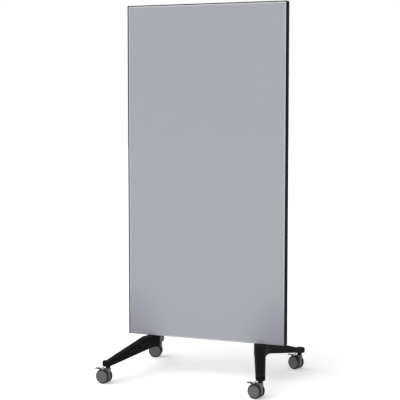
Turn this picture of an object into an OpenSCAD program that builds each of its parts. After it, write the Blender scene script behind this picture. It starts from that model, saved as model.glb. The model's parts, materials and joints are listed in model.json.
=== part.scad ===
// Mobile partition wall: a double-sided glass board in a black aluminium frame, carried by two
// splayed cast feet on four braked twin-wheel casters.
// +X runs along the board, -Y faces its front glass and +Z is up. The origin is on the floor,
// under the middle of the board.

/* [Board] */
// Width over the side profiles
board_w = 880; // [700:5:1200]
// Height of the board, without its feet
board_h = 1750; // [1200:5:1900]
// Thickness over both glass faces
board_t = 37; // [32:1:44]
// Height of the board's lower edge above the floor
board_z = 200; // [190:1:220]

/* [Glass and sheets] */
// Thickness of each glass pane
glass_t = 4; // [3:0.5:6]
// Width of the polished bevel round each pane
bevel_w = 6; // [3:0.5:10]
// Depth of that bevel
bevel_d = 0.9; // [0.4:0.1:2]
// Thickness of the steel sheet behind each pane
sheet_t = 0.5; // [0.4:0.1:1.5]
// How far the steel sheet stops short of the pane's edge
sheet_margin = 5; // [3:1:12]

/* [Frame] */
// Width of the side profile's visible lip
side_lip = 5; // [3:0.5:8]
// Height of the top profile's visible lip
top_lip = 4; // [3:0.5:8]
// Width of each side profile, from its outer face to the core
stile_w = 20; // [16:1:26]
// Height of the top rail with its lip
top_rail_h = 20; // [16:1:30]
// Height of the bottom rail
bottom_rail_h = 30; // [26:1:40]
// Wall of the hollow profiles
wall = 2; // [1.5:0.1:3]

/* [Feet] */
// Distance from the middle of the board to each foot's hub
hub_x = 299; // [240:1:320]
// Width of the arms at the hub
hub_w = 61; // [54:1:64]
// Width of the arms where they meet the caster bosses
tip_w = 48.4; // [40:0.2:56]
// Height of the hub's underside
hub_under_z = 142; // [135:1:150]
// Top of the round boss that holds a caster
boss_top_z = 120; // [116:1:126]
// Underside of that boss
boss_under_z = 93; // [90:1:96]
// Diameter of that boss's round end
boss_d = 49; // [46:1:56]
// Chamfer along the upper edges of the arms
arm_chamfer = 7; // [3:0.5:9]
// Radius in the crook between the two arms
crook_r = 185; // [120:5:200]
// Wall of the casting
cast_wall = 5; // [4:0.5:7]

/* [Casters] */
// Distance from the middle of the board to each caster stem, along the board
stem_x = 413.5; // [380:0.5:430]
// Distance from the board's centre plane to each caster stem
stem_y = 331; // [280:1:360]
// Wheel diameter
wheel_d = 75; // [70:1:76]
// Width of one wheel
wheel_w = 14; // [12:0.5:15.5]
// Width over both treads
twin_w = 50; // [47:1:54]
// Distance from the stem to the wheel axle
trail = 23; // [22:0.5:26]
// Heading of each caster's trail, in the order front left, front right, back left, back right
headings = [4, 9, -16, 18];

/* [Hidden] */

// A circle with this many sides is a true circle
$fn = 64;
// Overlap that lets a cutter pass right through a face
over = 1;

// Board, from the floor up and from the centre plane out
board_top = board_z + board_h;
half_w = board_w / 2;
half_t = board_t / 2;
core_half_t = half_t - glass_t - sheet_t;
glass_gap = 0.5;
glass_z = board_z + 1.5;
glass_top = board_top - top_lip - glass_gap;
glass_half_w = half_w - side_lip - glass_gap;
cap_t = 4;
cap_round = 3;
plug_h = 14;
plug_gap = 0.2;
stile_inner = half_w - stile_w;
rail_gap = 0.3;
rail_half_w = stile_inner - rail_gap;
core_top = board_top - top_rail_h;
core_bottom = board_z + bottom_rail_h;
core_gap = 0.4;

// Corner brackets, screwed between the profiles inside the core's cut-away corners
bracket_leg = 60;
bracket_t = 3;
bracket_w = 20;
bracket_hole_d = 5;
bracket_holes = [0.45, 0.8];
bracket_room = bracket_leg + 3;

// Feet: each arm runs from the hub's axis to a caster stem
arm_run_x = stem_x - hub_x;
arm_len = norm([arm_run_x, stem_y]);
boss_reach = 6;
arm_end = arm_len + boss_reach;
arm_angle = atan2(stem_y, arm_run_x);
boss_r = boss_d / 2;
arm_taper = (hub_w - tip_w) / 2 / (arm_len - boss_r);
arm_end_half = hub_w / 2 - arm_taper * arm_end;
hub_proud = 1.2;
hub_drop = 1.5;
hub_chamfer = 5;
pad_h = 1;
pad_r = 24;
arm_top_z = board_z - pad_h;
arm_start = 5;
crook_lift = 1;
crook_drop = 0.5;
hub_r = hub_w / 2 + hub_proud;
hub_flat = 67;
top_run = 275;
top_slope = atan2(arm_top_z - boss_top_z, top_run);
bend_r = 120;
bend_run = bend_r * tan(top_slope / 2);
bend_depth = 10;
under_flat = 50;
under_end_z = boss_under_z + 1;
boss_top_round = 7;
boss_under_round = 4;
crook_angle = arm_angle + atan(arm_taper);
crook_sink = 0.5;
crook_x = (hub_w / 2 + crook_r - crook_sink) / sin(crook_angle);
crook_overlap = 12;
plate_t = 15;
skin_t = 6;
rib_t = 4;
rib_count = 2;
pocket_start = hub_w / 2 + 2;
pocket_end = arm_end - boss_r - skin_t;

// Foot fixings: two socket screws through the hub into a plate inside the bottom rail
bolt_d = 8;
bolt_pitch = 30;
bolt_head_d = 13;
bolt_head_h = 8;
bolt_socket_d = 7;
bolt_socket_h = 4;
bolt_clear = 0.2;
thread_clear = 0.05;
anchor_t = 8;
anchor_l = 90;

// Casters
wheel_r = wheel_d / 2;
tyre_t = 8.2;
tyre_inset = 0.5;
rim_r = wheel_r - tyre_t;
rim_t = 3;
shoulder_r = 6;
wheel_inner = twin_w / 2 - wheel_w;
disc_t = 3.5;
disc_proud = 2;
disc_chamfer = 1.2;
wheel_hub_r = 9;
spokes = 6;
spoke_t = 2.2;
spoke_inset = 3;
axle_r = 4;
axle_clear = 0.05;
axle_end_gap = 1;
web_t = 18;
web_r = 33;
spacer_r = 10;
spacer_gap = 0.3;
collar_r = 11.8;
socket_r = 12;
socket_top = 80;
socket_round_z = 74.5;
socket_floor = 45;
neck_z = 61.5;
throat = [5, 47.5];
thrust_gap = 0.5;
pin_r = 5;
pin_clear = 0.05;
pin_end_gap = 1;
shank_r = 6;
shank_h = 22;
shank_clear = 0.05;
shank_end_gap = 0.5;

// Brake pedal: a rocker on a pin near the top of the housing, behind the stem. Its plate runs from
// the outer lobe over a shelf and a valley up to the inner lobe.
pedal_pivot = [-40, 57.5];
pedal_outer = [-73, 72.8];
pedal_shelf = [-55, 74];
pedal_valley = [-46, 71];
pedal_inner = [-25, 83.5];
pedal_w = 20;
pedal_inner_w = 14;
pedal_t = 3.5;
pedal_swing = 12;
pedal_pin_r = 2;
pedal_pin_clear = 0.05;
pedal_pin_inset = 0.2;
pedal_eye_r = 5.5;
tongue_t = 6;
tongue_w = 9;
tongue_short = 3;
slot_t = 6.8;
slot_gap = 1;
slot_reach = 26;
grips = 3;
grip_r = 0.9;
grip_sink = 0.35;

// Half width of an arm at a distance from the hub's axis, and the height of its sloped top there
function arm_half(s) = hub_w / 2 - arm_taper * s;
function slope_z(s) = arm_top_z - (s - hub_flat) * tan(top_slope);

// Draws a right-hand part on its own side: a sign of -1 mirrors it to the left
module on_side(x_sign) {
    if (x_sign < 0) mirror([1, 0, 0]) children();
    else children();
}

// Draws a rear part on its own face: a sign of -1 mirrors it to the front
module on_face(y_sign) {
    if (y_sign < 0) mirror([0, 1, 0]) children();
    else children();
}

// An outline drawn in X and Z, extruded along Y about the centre plane
module prism_y(depth) {
    rotate([90, 0, 0]) linear_extrude(height = depth, center = true) children();
}

/* ---- Board ---- */

// One pane, bevelled all round its outer face
module glass(face) {
    inner_y = half_t - glass_t;
    color("#a9acb1") on_face(face) intersection() {
        translate([0, 0, glass_z]) linear_extrude(height = glass_top - glass_z) polygon([
            [-glass_half_w, inner_y],
            [glass_half_w, inner_y],
            [glass_half_w, half_t - bevel_d],
            [glass_half_w - bevel_w, half_t],
            [-glass_half_w + bevel_w, half_t],
            [-glass_half_w, half_t - bevel_d]
        ]);
        rotate([90, 0, 90]) linear_extrude(height = board_w, center = true) polygon([
            [inner_y, glass_z],
            [inner_y, glass_top],
            [half_t - bevel_d, glass_top],
            [half_t, glass_top - bevel_w],
            [half_t, glass_z + bevel_w],
            [half_t - bevel_d, glass_z]
        ]);
    }
}

// Steel sheet that makes a pane take magnets
module steel_sheet(face) {
    half = glass_half_w - sheet_margin;
    bottom = glass_z + sheet_margin;
    color("#8d9093") on_face(face)
        translate([-half, core_half_t, bottom])
            cube([2 * half, sheet_t, glass_top - sheet_margin - bottom]);
}

// Light core between the profiles, with its corners cut away for the brackets
module core_board() {
    half = stile_inner - core_gap;
    top = core_top - core_gap;
    bottom = core_bottom + core_gap;
    color("#c9b48a") difference() {
        translate([-half, -core_half_t, bottom])
            cube([2 * half, 2 * core_half_t, top - bottom]);
        for (x_sign = [-1, 1], z = [bottom, top])
            translate([x_sign * half, 0, z])
                cube([2 * bracket_room, board_t, 2 * bracket_room], center = true);
    }
}

// Section of a side profile in plan: an outer web with the visible lips, and a hollow tongue
module stile_section() {
    translate([half_w - side_lip, -half_t]) square([side_lip, board_t]);
    translate([stile_inner, -core_half_t]) square([stile_w - side_lip + over, 2 * core_half_t]);
}

module stile_chamber(gap) {
    translate([stile_inner + wall + gap, -core_half_t + wall + gap])
        square([stile_w - 2 * wall - 2 * gap, 2 * (core_half_t - wall - gap)]);
}

module stile(x_sign) {
    color("#1b1c20") on_side(x_sign)
        translate([0, 0, board_z + cap_t])
            linear_extrude(height = board_h - 2 * cap_t) difference() {
                stile_section();
                stile_chamber(0);
            }
}

// Plastic cap over the top of a side profile, rounded at its outer corner
module top_cap(x_sign) {
    color("#141416") on_side(x_sign) {
        prism_y(board_t) translate([stile_inner, board_top - cap_t]) intersection() {
            square([stile_w, cap_t]);
            union() {
                square([stile_w - cap_round, cap_t]);
                square([stile_w, cap_t - cap_round]);
                translate([stile_w - cap_round, cap_t - cap_round]) circle(r = cap_round);
            }
        }
        translate([0, 0, board_top - cap_t - plug_h])
            linear_extrude(height = plug_h + cap_t / 2) stile_chamber(plug_gap);
    }
}

// Plastic cap under a side profile, in the profile's own section so that the glass passes it
module bottom_cap(x_sign) {
    color("#141416") on_side(x_sign) {
        translate([0, 0, board_z]) linear_extrude(height = cap_t) stile_section();
        translate([0, 0, board_z + cap_t / 2])
            linear_extrude(height = plug_h + cap_t / 2) stile_chamber(plug_gap);
    }
}

// Hollow top rail with a lip over both panes
module top_rail() {
    lip_z = board_top - top_lip;
    color("#1b1c20") difference() {
        union() {
            translate([-rail_half_w, -half_t, lip_z]) cube([2 * rail_half_w, board_t, top_lip]);
            translate([-rail_half_w, -core_half_t, core_top])
                cube([2 * rail_half_w, 2 * core_half_t, top_rail_h - top_lip / 2]);
        }
        translate([0, 0, (core_top + lip_z) / 2]) cube(
            [board_w, 2 * (core_half_t - wall), lip_z - core_top - 2 * wall],
            center = true
        );
    }
}

// Hollow bottom rail, bored for the screws of both feet
module bottom_rail() {
    color("#1b1c20") difference() {
        translate([-rail_half_w, -core_half_t, board_z])
            cube([2 * rail_half_w, 2 * core_half_t, bottom_rail_h]);
        translate([0, 0, board_z + bottom_rail_h / 2])
            cube([board_w, 2 * (core_half_t - wall), bottom_rail_h - 2 * wall], center = true);
        for (x_sign = [-1, 1]) on_side(x_sign) at_bolts(board_z - over)
            cylinder(h = wall + 2 * over, r = bolt_d / 2 + bolt_clear);
    }
}

// Steel angle inside one corner: x_sign picks the side, corner_z its rail face, up or down from it
module bracket(x_sign, corner_z, up) {
    color("#9a9da0") on_side(x_sign) translate([stile_inner - core_gap, 0, corner_z])
        point_up(up) difference() {
            prism_y(bracket_w) {
                translate([-bracket_leg, 0]) square([bracket_leg, bracket_t]);
                translate([-bracket_t, 0]) square([bracket_t, bracket_leg]);
            }
            for (reach = bracket_holes) {
                translate([-reach * bracket_leg, 0, -over])
                    cylinder(h = bracket_t + 2 * over, d = bracket_hole_d);
                translate([over, 0, reach * bracket_leg])
                    rotate([0, -90, 0]) cylinder(h = bracket_t + 2 * over, d = bracket_hole_d);
            }
        }
}

module point_up(up) {
    if (up) children();
    else mirror([0, 0, 1]) children();
}

/* ---- Feet ---- */

// Both arms of the right foot, in their own frame: X runs out along the arm from the hub's axis
module on_arms() {
    for (y_sign = [-1, 1])
        translate([hub_x, 0, 0]) on_face(y_sign) rotate([0, 0, arm_angle]) children();
}

module at_bolts(z) {
    for (side = [-1, 1]) translate([hub_x + side * bolt_pitch / 2, 0, z]) children();
}

// Side outline of an arm: level over the hub, rounded where it bends, then straight to the boss
module arm_outline() {
    bend_start = [hub_flat - bend_run, arm_top_z];
    bend_end = [hub_flat + bend_run * cos(top_slope), arm_top_z - bend_run * sin(top_slope)];
    across = [sin(top_slope), cos(top_slope)];
    polygon([
        [0, hub_under_z],
        [under_flat, hub_under_z],
        [arm_end, under_end_z],
        [arm_end, slope_z(arm_end)],
        bend_end,
        bend_start,
        [0, arm_top_z]
    ]);
    intersection() {
        translate(bend_start - [0, bend_r]) circle(r = bend_r, $fn = 180);
        polygon([
            bend_start - [0, bend_depth],
            bend_start + [0, bend_depth],
            bend_end + bend_depth * across,
            bend_end - bend_depth * across
        ]);
    }
}

// Solid bar that follows an arm's taper and outline
module arm_bar() {
    intersection() {
        linear_extrude(height = board_z) polygon([
            [arm_start, -arm_half(arm_start)],
            [arm_end, -arm_end_half],
            [arm_end, arm_end_half],
            [arm_start, arm_half(arm_start)]
        ]);
        prism_y(2 * hub_w) arm_outline();
    }
}

// Bar that cuts a chamfer along the edge between two points, on the side that the sign gives
module edge_cut(from, to, side) {
    run = to - from;
    reach = 2 * arm_chamfer;
    translate(from)
        rotate([0, -atan2(run[2], norm([run[0], run[1]])), atan2(run[1], run[0])])
            rotate([-45 * side, 0, 0]) translate([-over, -reach, -arm_chamfer / sqrt(2)])
                cube([norm(run) + 2 * over, 2 * reach, reach]);
}

// One arm with both of its upper edges chamfered
module arm() {
    difference() {
        arm_bar();
        for (side = [-1, 1]) {
            bend = [hub_flat, side * arm_half(hub_flat), arm_top_z];
            edge_cut([0, side * hub_w / 2, arm_top_z], bend, side);
            edge_cut(bend, [arm_end, side * arm_end_half, slope_z(arm_end)], side);
        }
    }
}

// Solid that rounds the crook between the arms, chamfered like them
module crook() {
    touch = [crook_x, 0] + crook_r * [-sin(crook_angle), cos(crook_angle)];
    root = touch + crook_overlap * [-sin(crook_angle), cos(crook_angle)];
    under_z = hub_under_z + crook_lift;
    top_z = arm_top_z - crook_drop;
    translate([hub_x, 0, 0]) difference() {
        translate([0, 0, under_z]) linear_extrude(height = top_z - under_z) polygon([
            [0, 0],
            [root[0], -root[1]],
            [touch[0], -touch[1]],
            touch,
            root
        ]);
        translate([crook_x, 0, 0]) {
            cylinder(h = board_z, r = crook_r, $fn = 180);
            translate([0, 0, top_z - arm_chamfer]) cylinder(
                h = 2 * arm_chamfer,
                r1 = crook_r,
                r2 = crook_r + 2 * arm_chamfer,
                $fn = 180
            );
        }
    }
}

module hub() {
    height = board_z - hub_under_z + hub_drop;
    translate([hub_x, 0, board_z - height]) {
        cylinder(h = height - hub_chamfer, r = hub_r);
        translate([0, 0, height - hub_chamfer])
            cylinder(h = hub_chamfer, r1 = hub_r, r2 = pad_r);
    }
}

// Round end of an arm, which takes a caster stem
module boss() {
    height = boss_top_z - boss_under_z;
    translate([arm_end, 0, boss_under_z]) rotate_extrude() {
        square([boss_r - boss_top_round, height]);
        square([boss_r - boss_under_round, height - boss_top_round]);
        translate([0, boss_under_round]) square([boss_r, height - boss_under_round - boss_top_round]);
        translate([boss_r - boss_top_round, height - boss_top_round]) circle(r = boss_top_round);
        translate([boss_r - boss_under_round, boss_under_round]) circle(r = boss_under_round);
    }
}

// Hollows under an arm, between its ribs
module arm_pockets() {
    bay = (pocket_end - pocket_start - rib_count * rib_t) / (rib_count + 1);
    top = board_z - plate_t;
    for (i = [0 : rib_count]) {
        start = pocket_start + i * (bay + rib_t);
        end = start + bay;
        intersection() {
            linear_extrude(height = top) polygon([
                [start, -arm_half(start) + cast_wall],
                [end, -arm_half(end) + cast_wall],
                [end, arm_half(end) - cast_wall],
                [start, arm_half(start) - cast_wall]
            ]);
            prism_y(2 * hub_w) polygon([
                [0, 0],
                [arm_end, 0],
                [arm_end, slope_z(arm_end) - skin_t],
                [hub_flat, arm_top_z - plate_t],
                [0, arm_top_z - plate_t]
            ]);
        }
    }
}

// Cast foot, hollow from below, bored for its two screws and both stems
module foot(x_sign) {
    color("#17181b") on_side(x_sign) difference() {
        union() {
            on_arms() arm();
            crook();
            hub();
            on_arms() boss();
        }
        on_arms() arm_pockets();
        translate([hub_x, 0, 0])
            cylinder(h = board_z - plate_t, r = hub_w / 2 - cast_wall);
        at_bolts(board_z - plate_t - over)
            cylinder(h = plate_t + 2 * over, r = bolt_d / 2 + bolt_clear);
        on_arms() translate([arm_len, 0, boss_under_z - over])
            cylinder(h = shank_h + over + shank_end_gap, r = shank_r + shank_clear);
    }
}

// Threaded plate inside the bottom rail that one foot is screwed to
module foot_anchor(x_sign) {
    depth = 2 * (core_half_t - wall - bolt_clear);
    color("#8d9093") on_side(x_sign) difference() {
        translate([hub_x - anchor_l / 2, -depth / 2, board_z + wall]) cube([anchor_l, depth, anchor_t]);
        at_bolts(board_z) cylinder(h = bottom_rail_h, r = bolt_d / 2 + thread_clear);
    }
}

// The pair of socket screws that hold one foot
module foot_bolts(x_sign) {
    head_z = board_z - plate_t - bolt_head_h;
    color("#55585c") on_side(x_sign) at_bolts(head_z) difference() {
        union() {
            cylinder(h = bolt_head_h, d = bolt_head_d);
            cylinder(h = bolt_head_h + plate_t + wall + anchor_t, d = bolt_d);
        }
        translate([0, 0, -over]) cylinder(h = bolt_socket_h + over, d = bolt_socket_d, $fn = 6);
    }
}

/* ---- Casters: corner 0 to 3 is front left, front right, back left, back right ---- */

// A caster's own frame: Z is its stem, and the wheels trail along -X
module at_corner(corner) {
    x_sign = corner % 2 == 0 ? -1 : 1;
    y_sign = corner < 2 ? -1 : 1;
    translate([x_sign * stem_x, y_sign * stem_y, 0]) rotate([0, 0, -headings[corner]]) children();
}

// The wheel centre, with Z turned to run along the axle towards one side of the caster
module at_wheel(side) {
    translate([-trail, 0, wheel_r]) rotate([side < 0 ? 90 : -90, 0, 0]) children();
}

// Stem fixed in the foot: a shank, a collar under the boss and a smooth swivel pin
module stem(corner) {
    collar_z = socket_top + thrust_gap;
    pin_z = socket_floor + pin_end_gap;
    color("#101012") at_corner(corner) {
        translate([0, 0, pin_z]) cylinder(h = boss_under_z - pin_z, r = pin_r);
        translate([0, 0, collar_z]) cylinder(h = boss_under_z - collar_z, r = collar_r);
        translate([0, 0, boss_under_z]) cylinder(h = shank_h, r = shank_r);
    }
}

// Bar between two points, round at both ends
module bar(from, to, width) {
    run = to - from;
    translate(from) rotate(atan2(run[1], run[0])) {
        translate([0, -width / 2]) square([norm(run), width]);
        circle(d = width);
        translate([norm(run), 0]) circle(d = width);
    }
}

// Side outline of the housing: a disc between the wheels and a neck up to the socket
module housing_outline() {
    hub = [-trail, wheel_r];
    translate(hub) circle(r = web_r);
    polygon([
        hub + [0, web_r],
        [-socket_r, socket_top],
        [socket_r, socket_top],
        [socket_r, neck_z],
        throat,
        hub
    ]);
}

// Side outline of the room that the pedal's tongue needs from rest to its limit
module slot_outline() {
    rise = pedal_valley - pedal_pivot;
    rest_angle = atan2(rise[1], rise[0]);
    for (swing = [0, pedal_swing])
        bar(
            pedal_pivot,
            pedal_pivot + slot_reach * [cos(rest_angle + swing), sin(rest_angle + swing)],
            2 * (pedal_eye_r + slot_gap)
        );
}

// Housing between the wheels, with the stem's socket, the axle's bore and the pedal's slot
module housing(corner) {
    color("#6b6b6e") at_corner(corner) difference() {
        union() {
            prism_y(web_t) housing_outline();
            translate([0, 0, socket_round_z]) cylinder(h = socket_top - socket_round_z, r = socket_r);
            for (side = [-1, 1])
                at_wheel(side) cylinder(h = wheel_inner - spacer_gap, r = spacer_r);
        }
        translate([0, 0, socket_floor]) cylinder(h = socket_top, r = pin_r + pin_clear);
        at_wheel(-1) translate([0, 0, -twin_w / 2]) cylinder(h = twin_w, r = axle_r);
        at_pedal_pin(web_t) cylinder(h = 2 * web_t, r = pedal_pin_r);
        prism_y(slot_t) slot_outline();
    }
}

// The pedal's pin, with Z turned to run along it from a distance behind the middle
module at_pedal_pin(start) {
    translate([pedal_pivot[0], start, pedal_pivot[1]]) rotate([90, 0, 0]) children();
}

module axle(corner) {
    reach = twin_w / 2 - disc_t - axle_end_gap;
    color("#a6a9ac") at_corner(corner)
        at_wheel(-1) translate([0, 0, -reach]) cylinder(h = 2 * reach, r = axle_r);
}

// Wheel centre: a cap that stands proud of the tread, a rim, a hub with a blind bore, and spokes
module wheel(corner, side) {
    face = twin_w / 2 + disc_proud;
    back = twin_w / 2 - disc_t;
    rim_z = wheel_inner + tyre_inset;
    spoke_z = wheel_inner + spoke_inset;
    color("#6b6b6e") at_corner(corner) at_wheel(side) {
        rotate_extrude() polygon([
            [0, face],
            [rim_r - disc_chamfer, face],
            [rim_r, face - disc_chamfer],
            [rim_r, rim_z],
            [rim_r - rim_t, rim_z],
            [rim_r - rim_t, back],
            [wheel_hub_r, back],
            [wheel_hub_r, wheel_inner],
            [axle_r + axle_clear, wheel_inner],
            [axle_r + axle_clear, back],
            [0, back]
        ]);
        for (i = [0 : spokes - 1]) rotate([0, 0, i * 360 / spokes])
            translate([wheel_hub_r - over, -spoke_t / 2, spoke_z])
                cube([rim_r - rim_t - wheel_hub_r + 2 * over, spoke_t, back + over - spoke_z]);
    }
}

// Soft tread bonded round a wheel, with round shoulders
module tyre(corner, side) {
    width = wheel_w - 2 * tyre_inset;
    color("#2f2f31") at_corner(corner) at_wheel(side)
        rotate_extrude() translate([rim_r, wheel_inner + tyre_inset]) intersection() {
            square([tyre_t, width]);
            union() {
                square([tyre_t - shoulder_r, width]);
                translate([0, shoulder_r]) square([tyre_t, width - 2 * shoulder_r]);
                for (y = [shoulder_r, width - shoulder_r])
                    translate([tyre_t - shoulder_r, y]) circle(r = shoulder_r);
            }
        }
}

// Side outline of the rocker plate, with grip ridges along its outer lobe
module pedal_outline() {
    bar(pedal_outer, pedal_shelf, pedal_t);
    bar(pedal_shelf, pedal_valley, pedal_t);
    bar(pedal_valley, pedal_inner, pedal_t);
    for (i = [0 : grips - 1])
        translate(pedal_outer + (pedal_shelf - pedal_outer) * i / grips + [0, pedal_t / 2 - grip_sink])
            circle(r = grip_r);
}

// Plan of the rocker plate: round at its outer end, narrower towards the stem
module pedal_plan() {
    round_r = pedal_w / 2;
    round_x = pedal_outer[0] - pedal_t / 2 - over + round_r;
    inner_x = pedal_inner[0] + pedal_t;
    translate([round_x, 0]) circle(r = round_r);
    polygon([
        [round_x, -round_r],
        [pedal_valley[0], -round_r],
        [inner_x, -pedal_inner_w / 2],
        [inner_x, pedal_inner_w / 2],
        [pedal_valley[0], round_r],
        [round_x, round_r]
    ]);
}

// Brake pedal: the rocker plate on a tongue with an eye for its pin
module pedal(corner) {
    rise = pedal_valley - pedal_pivot;
    color("#4a4a4d") at_corner(corner) difference() {
        union() {
            intersection() {
                prism_y(pedal_w + 2 * over) pedal_outline();
                linear_extrude(height = 2 * wheel_d) pedal_plan();
            }
            prism_y(tongue_t) {
                translate(pedal_pivot) circle(r = pedal_eye_r);
                bar(pedal_pivot, pedal_valley - tongue_short * rise / norm(rise), tongue_w);
            }
        }
        at_pedal_pin(web_t) cylinder(h = 2 * web_t, r = pedal_pin_r + pedal_pin_clear);
    }
}

module pedal_pin(corner) {
    color("#a6a9ac") at_corner(corner) at_pedal_pin(web_t / 2 - pedal_pin_inset)
        cylinder(h = web_t - 2 * pedal_pin_inset, r = pedal_pin_r);
}

glass(-1);  // front_glass
glass(1);  // rear_glass
steel_sheet(-1);  // front_steel_sheet
steel_sheet(1);  // rear_steel_sheet
core_board();
stile(-1);  // left_stile
stile(1);  // right_stile
top_rail();
bottom_rail();
top_cap(-1);  // top_left_cap
top_cap(1);  // top_right_cap
bottom_cap(-1);  // bottom_left_cap
bottom_cap(1);  // bottom_right_cap
bracket(-1, core_top - core_gap, false);  // top_left_bracket
bracket(1, core_top - core_gap, false);  // top_right_bracket
bracket(-1, core_bottom + core_gap, true);  // bottom_left_bracket
bracket(1, core_bottom + core_gap, true);  // bottom_right_bracket
foot(-1);  // left_foot
foot(1);  // right_foot
foot_anchor(-1);  // left_foot_anchor
foot_anchor(1);  // right_foot_anchor
foot_bolts(-1);  // left_foot_bolts
foot_bolts(1);  // right_foot_bolts
stem(0);  // front_left_stem
housing(0);  // front_left_housing
axle(0);  // front_left_axle
wheel(0, -1);  // front_left_wheel_a
tyre(0, -1);  // front_left_tyre_a
wheel(0, 1);  // front_left_wheel_b
tyre(0, 1);  // front_left_tyre_b
pedal(0);  // front_left_pedal
pedal_pin(0);  // front_left_pedal_pin
stem(1);  // front_right_stem
housing(1);  // front_right_housing
axle(1);  // front_right_axle
wheel(1, -1);  // front_right_wheel_a
tyre(1, -1);  // front_right_tyre_a
wheel(1, 1);  // front_right_wheel_b
tyre(1, 1);  // front_right_tyre_b
pedal(1);  // front_right_pedal
pedal_pin(1);  // front_right_pedal_pin
stem(2);  // back_left_stem
housing(2);  // back_left_housing
axle(2);  // back_left_axle
wheel(2, -1);  // back_left_wheel_a
tyre(2, -1);  // back_left_tyre_a
wheel(2, 1);  // back_left_wheel_b
tyre(2, 1);  // back_left_tyre_b
pedal(2);  // back_left_pedal
pedal_pin(2);  // back_left_pedal_pin
stem(3);  // back_right_stem
housing(3);  // back_right_housing
axle(3);  // back_right_axle
wheel(3, -1);  // back_right_wheel_a
tyre(3, -1);  // back_right_tyre_a
wheel(3, 1);  // back_right_wheel_b
tyre(3, 1);  // back_right_tyre_b
pedal(3);  // back_right_pedal
pedal_pin(3);  // back_right_pedal_pin
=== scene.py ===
import json
import math

import bpy
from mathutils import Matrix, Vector


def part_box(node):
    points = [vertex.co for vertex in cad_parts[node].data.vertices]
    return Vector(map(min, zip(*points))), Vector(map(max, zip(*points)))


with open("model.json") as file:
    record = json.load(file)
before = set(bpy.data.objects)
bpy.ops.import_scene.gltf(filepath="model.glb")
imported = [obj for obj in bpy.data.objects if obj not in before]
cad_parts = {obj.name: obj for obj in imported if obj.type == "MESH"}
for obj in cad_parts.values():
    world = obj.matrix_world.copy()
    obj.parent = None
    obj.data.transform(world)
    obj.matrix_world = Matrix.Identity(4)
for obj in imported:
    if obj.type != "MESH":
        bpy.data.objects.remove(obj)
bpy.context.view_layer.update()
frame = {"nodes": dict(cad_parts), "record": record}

MM = 0.001


nodes = frame["nodes"]


# ---- Camera: at the photograph's angle, from the front right, a little above the middle ----

CAMERA_AT = Vector((2.143, -5.469, 1.437))
CAMERA_TURN = math.radians(21.72)
CAMERA_DIP = math.radians(4.88)
LENS_MM = 101.6
SENSOR_MM = 36.0
CLIP_END = 100.0


def add_camera():
    data = bpy.data.cameras.new("camera")
    data.lens = LENS_MM
    data.sensor_width = SENSOR_MM
    data.clip_end = CLIP_END
    camera = bpy.data.objects.new("camera", data)
    camera.location = CAMERA_AT
    camera.rotation_euler = (math.pi / 2 - CAMERA_DIP, 0, CAMERA_TURN)
    bpy.context.scene.collection.objects.link(camera)
    bpy.context.scene.camera = camera


# ---- Node trees ----


def feed(tree, socket, value):
    """Links a socket to another node's output, or sets it to a plain value."""
    if isinstance(value, bpy.types.NodeSocket):
        tree.links.new(value, socket)
    else:
        socket.default_value = value


def add_node(tree, kind, inputs, **settings):
    """A new node with its settings made, and its inputs fed by name or by number."""
    node = tree.nodes.new(kind)
    for name, value in settings.items():
        setattr(node, name, value)
    for name, value in inputs.items():
        feed(tree, node.inputs[name], value)
    return node


def new_material(name, inputs):
    """A new material and its Principled shader, with the shader's inputs set."""
    material = bpy.data.materials.new(name)
    material.use_nodes = True
    shader = material.node_tree.nodes["Principled BSDF"]
    for socket, value in inputs.items():
        feed(material.node_tree, shader.inputs[socket], value)
    return material, shader


# ---- Stage: a plain pale floor under soft studio light, white all round at eye level ----

WHITE = (1, 1, 1, 1)
FLOOR_HALF = 30.0
FLOOR_COLOR = (0.93, 0.93, 0.93, 1)
FLOOR_ROUGHNESS = 0.9
FLOOR_SPECULAR = 0.1
FLOOR_GLOW = 0.3
WORLD_LOW = 1.0
WORLD_HIGH = 0.3
WORLD_FADE = (0.12, 0.5)
SUN_STRENGTH = 2.4
SUN_SOFTNESS = math.radians(80)
SUN_FROM = Vector((-0.37, -0.53, 0.77))


def add_floor():
    signs = ((-1, -1), (1, -1), (1, 1), (-1, 1))
    outline = [(x * FLOOR_HALF, y * FLOOR_HALF, 0) for x, y in signs]
    mesh = bpy.data.meshes.new("floor")
    mesh.from_pydata(outline, [], [tuple(range(len(outline)))])
    floor = bpy.data.objects.new("floor", mesh)
    bpy.context.scene.collection.objects.link(floor)
    material, _ = new_material("floor_white", {
        "Base Color": FLOOR_COLOR,
        "Roughness": FLOOR_ROUGHNESS,
        "Specular IOR Level": FLOOR_SPECULAR,
        "Emission Color": WHITE,
        "Emission Strength": FLOOR_GLOW,
    })
    mesh.materials.append(material)


def add_world():
    """A white surround that fades to grey overhead."""
    world = bpy.data.worlds.new("studio")
    world.use_nodes = True
    tree = world.node_tree
    direction = add_node(tree, "ShaderNodeTexCoord", {}).outputs["Generated"]
    parts = add_node(tree, "ShaderNodeSeparateXYZ", {"Vector": direction})
    inputs = {
        "Value": parts.outputs["Z"],
        "From Min": WORLD_FADE[0],
        "From Max": WORLD_FADE[1],
        "To Min": WORLD_LOW,
        "To Max": WORLD_HIGH,
    }
    fade = add_node(tree, "ShaderNodeMapRange", inputs, interpolation_type="SMOOTHSTEP")
    background = tree.nodes["Background"]
    feed(tree, background.inputs["Color"], WHITE)
    feed(tree, background.inputs["Strength"], fade.outputs["Result"])
    bpy.context.scene.world = world
    bpy.context.scene.view_settings.view_transform = "Standard"


def add_sun():
    data = bpy.data.lights.new("sun", "SUN")
    data.energy = SUN_STRENGTH
    data.angle = SUN_SOFTNESS
    light = bpy.data.objects.new("sun", data)
    light.rotation_euler = SUN_FROM.to_track_quat("Z", "Y").to_euler()
    bpy.context.scene.collection.objects.link(light)


# ---- Materials ----

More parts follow.
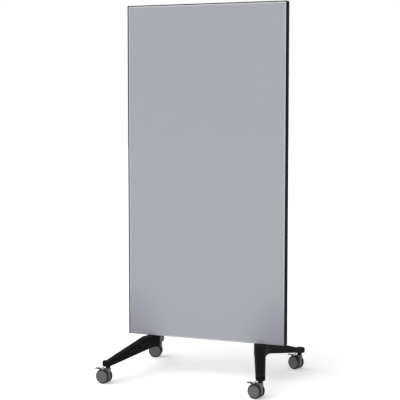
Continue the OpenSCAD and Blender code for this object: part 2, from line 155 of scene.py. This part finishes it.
# A noise pattern's middle range
NOISE_MIDDLE = (0.3, 0.7)
# Cosines of the tilt where wear along an edge starts and where it is full
EDGE_TILT = (0.995, 0.8)
EDGE_SAMPLES = 4
WEAR_SCALE = 90.0
WEAR_DETAIL = 5.0


class Finish:
    """A Principled material for one slot, and short ways to add procedural detail to it."""

    def __init__(self, slot, color, roughness, metallic=0.0, specular=0.5, ior=1.5):
        self.slot = slot
        # The colour so far: four numbers, or the output of the last node that changed it
        self.color = (*color, 1)
        self.material, self.shader = new_material(slot, {
            "Base Color": self.color,
            "Roughness": roughness,
            "Metallic": metallic,
            "Specular IOR Level": specular,
            "IOR": ior,
        })
        coordinates = self.add("ShaderNodeTexCoord", {})
        self.place = coordinates.outputs["Object"]
        self.facing = coordinates.outputs["Normal"]

    def add(self, kind, inputs, **settings):
        return add_node(self.material.node_tree, kind, inputs, **settings)

    def drive(self, name, value):
        """Links one of the shader's inputs to a node's output."""
        feed(self.material.node_tree, self.shader.inputs[name], value)

    def noise(self, scale, detail, stretch=(1, 1, 1)):
        """A noise pattern in metres, drawn out along an axis where stretch is under 1."""
        mapping = self.add("ShaderNodeMapping", {"Vector": self.place, "Scale": stretch})
        inputs = {"Vector": mapping.outputs["Vector"], "Scale": scale, "Detail": detail}
        return self.add("ShaderNodeTexNoise", inputs).outputs["Fac"]

    def spread(self, value, low, high):
        """Maps a pattern's middle range onto low to high."""
        inputs = {
            "Value": value,
            "From Min": NOISE_MIDDLE[0],
            "From Max": NOISE_MIDDLE[1],
            "To Min": low,
            "To Max": high,
        }
        return self.add("ShaderNodeMapRange", inputs).outputs["Result"]

    def fade(self, value, start, end):
        """0 up to start and 1 from end on, with a soft change between them."""
        inputs = {"Value": value, "From Min": start, "From Max": end}
        node = self.add("ShaderNodeMapRange", inputs, interpolation_type="SMOOTHSTEP")
        return node.outputs["Result"]

    def axis(self, vector, name):
        return self.add("ShaderNodeSeparateXYZ", {"Vector": vector}).outputs[name]

    def math(self, operation, *values):
        """A Math node on numbers or other nodes' outputs."""
        inputs = dict(enumerate(values))
        return self.add("ShaderNodeMath", inputs, operation=operation).outputs["Value"]

    def edges(self, width):
        """1 along the piece's sharp edges, within a given width, and 0 away from them."""
        bevel = self.add("ShaderNodeBevel", {"Radius": width}, samples=EDGE_SAMPLES)
        flat = self.add("ShaderNodeNewGeometry", {})
        inputs = {0: bevel.outputs["Normal"], 1: flat.outputs["Normal"]}
        dot = self.add("ShaderNodeVectorMath", inputs, operation="DOT_PRODUCT")
        return self.fade(dot.outputs["Value"], *EDGE_TILT)

    def blend_color(self, amount, other):
        """Turns the colour so far into another one where amount is 1."""
        inputs = {"Factor": amount, "A": self.color, "B": (*other, 1)}
        self.color = self.add("ShaderNodeMix", inputs, data_type="RGBA").outputs["Result"]
        self.drive("Base Color", self.color)

    def vary_color(self, value, other, strength):
        self.blend_color(self.spread(value, 0, strength), other)

    def vary_roughness(self, value, low, high):
        self.drive("Roughness", self.spread(value, low, high))

    def wear(self, width, color, strength):
        """Turns the edges towards another colour, in patches."""
        patches = self.spread(self.noise(WEAR_SCALE, WEAR_DETAIL), 0, strength)
        self.blend_color(self.math("MULTIPLY", self.edges(width), patches), color)

    def bump(self, value, depth):
        node = self.add("ShaderNodeBump", {"Distance": depth, "Height": value})
        self.drive("Normal", node.outputs["Normal"])


GLASS_GREY = (0.292, 0.303, 0.329)
# Painted reflection shade: the darker colour put at the glass's lower corners, standing in for
# dark parts mirrored there
GLASS_REFLECTION_SHADE = (0.226, 0.226, 0.258)
# Painted highlight: the paler colour given to the ground bevel, standing in for the light it
# catches
GLASS_BEVEL_HIGHLIGHT = (0.40, 0.41, 0.43)
# Cosines of the tilt between the flat face and the bevel
BEVEL_TILT = (0.998, 0.992)
# How far the painted reflection shade reaches from a lower corner, across and up
REFLECTION_SHADE_REACH = (0.26, 0.36)


def glass_finish():
    """Back-painted glass, with a painted highlight that makes its ground bevel paler, and painted
    reflection shade that darkens its lower corners.
    """
    finish = Finish("grey_glass", GLASS_GREY, roughness=0.07, ior=1.52)
    finish.vary_roughness(finish.noise(scale=3.0, detail=4.0), low=0.05, high=0.1)
    low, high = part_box("front_glass")
    tilt = finish.math("ABSOLUTE", finish.axis(finish.facing, "Y"))
    # Painted highlight: the bevel faces, found by their tilt, turn paler
    finish.blend_color(finish.fade(tilt, *BEVEL_TILT), GLASS_BEVEL_HIGHLIGHT)
    side = finish.math("ABSOLUTE", finish.axis(finish.place, "X"))
    across = finish.math("SUBTRACT", high[0], side)
    up = finish.math("SUBTRACT", finish.axis(finish.place, "Z"), low[2])
    squares = [
        finish.math("POWER", finish.math("DIVIDE", gap, reach), 2)
        for gap, reach in zip((across, up), REFLECTION_SHADE_REACH)
    ]
    distance = finish.math("SQRT", finish.math("ADD", *squares))
    # Painted reflection shade: the lower corners darken, more so nearer the corner
    finish.blend_color(finish.fade(distance, 1, 0), GLASS_REFLECTION_SHADE)
    return finish


def profile_finish():
    """Black anodised extrusion: fine lines along its length, and faint handling marks."""
    finish = Finish("black_profile", (0.004, 0.004, 0.006), roughness=0.5, specular=0.01)
    lines = finish.noise(scale=900.0, detail=2.0, stretch=(1, 1, 0.02))
    finish.vary_roughness(lines, low=0.46, high=0.6)
    marks = finish.noise(scale=6.0, detail=4.0)
    finish.vary_color(marks, (0.008, 0.008, 0.010), strength=0.6)
    finish.wear(0.6 * MM, (0.03, 0.03, 0.032), strength=0.8)
    finish.bump(lines, depth=0.02 * MM)
    return finish


def casting_finish():
    """Powder coat on a casting: orange peel, and patches where it has been rubbed."""
    finish = Finish("black_casting", (0.003, 0.003, 0.004), roughness=0.55, specular=0.06)
    finish.vary_roughness(finish.noise(scale=40.0, detail=4.0), low=0.46, high=0.6)
    patches = finish.noise(scale=25.0, detail=5.0)
    finish.vary_color(patches, (0.006, 0.006, 0.007), strength=0.5)
    finish.wear(1.2 * MM, (0.03, 0.03, 0.032), strength=0.8)
    finish.bump(finish.noise(scale=700.0, detail=3.0), depth=0.08 * MM)
    return finish


PLASTIC_CHANGE = 0.07
PALER_EDGE = 1.6


def plastic_finish(slot, color, roughness, specular, dust=1.25):
    """Moulded plastic or rubber, with a fine grain and a little dust in patches."""
    finish = Finish(slot, color, roughness, specular=specular)
    gloss = finish.noise(scale=60.0, detail=4.0)
    finish.vary_roughness(gloss, roughness - PLASTIC_CHANGE, roughness + PLASTIC_CHANGE)
    patches = finish.noise(scale=35.0, detail=5.0)
    finish.vary_color(patches, [dust * part for part in color], strength=0.8)
    finish.wear(0.5 * MM, [PALER_EDGE * part for part in color], strength=0.7)
    finish.bump(finish.noise(scale=1500.0, detail=2.0), depth=0.03 * MM)
    return finish


STEEL_CHANGE = 0.08
TARNISH = 0.8


def steel_finish(slot, color, roughness):
    """Bare, plated or blackened steel, drawn one way, with duller patches."""
    finish = Finish(slot, color, roughness, metallic=0.9)
    grain = finish.noise(scale=600.0, detail=3.0, stretch=(1, 0.1, 1))
    finish.vary_roughness(grain, roughness - STEEL_CHANGE, roughness + STEEL_CHANGE)
    patches = finish.noise(scale=30.0, detail=4.0)
    finish.vary_color(patches, [TARNISH * part for part in color], strength=0.7)
    finish.bump(grain, depth=0.01 * MM)
    return finish


def board_finish():
    """Paper core board: fibres lying along the board, in two tones."""
    finish = Finish("honeycomb", (0.55, 0.43, 0.28), roughness=0.85)
    fibres = finish.noise(scale=120.0, detail=4.0, stretch=(1, 1, 0.2))
    finish.vary_color(fibres, (0.42, 0.31, 0.19), strength=0.6)
    finish.bump(fibres, depth=0.1 * MM)
    return finish


FINISHES = [
    glass_finish(),
    steel_finish("sheet_steel", (0.45, 0.46, 0.47), 0.4),
    board_finish(),
    profile_finish(),
    plastic_finish("black_cap", (0.005, 0.005, 0.006), 0.5, specular=0.03),
    steel_finish("plated_steel", (0.55, 0.56, 0.58), 0.35),
    steel_finish("bolt_steel", (0.10, 0.10, 0.11), 0.45),
    casting_finish(),
    plastic_finish("stem_black", (0.004, 0.004, 0.005), 0.4, specular=0.05),
    plastic_finish("housing_grey", (0.098, 0.098, 0.101), 0.45, specular=0.3),
    plastic_finish("wheel_grey", (0.082, 0.082, 0.085), 0.5, specular=0.3, dust=1.3),
    plastic_finish("tread", (0.013, 0.013, 0.014), 0.62, specular=0.25, dust=2),
    plastic_finish("pedal_grey", (0.07, 0.07, 0.073), 0.45, specular=0.3),
]


def finish_nodes():
    """Gives every CAD node the material of its slot in the record."""
    materials = {finish.slot: finish.material for finish in FINISHES}
    for part in frame["record"]["subparts"]:
        for slot in nodes[part["node"]].material_slots:
            slot.material = materials[part["material_slot"]]


add_camera()
add_floor()
add_world()
add_sun()
finish_nodes()
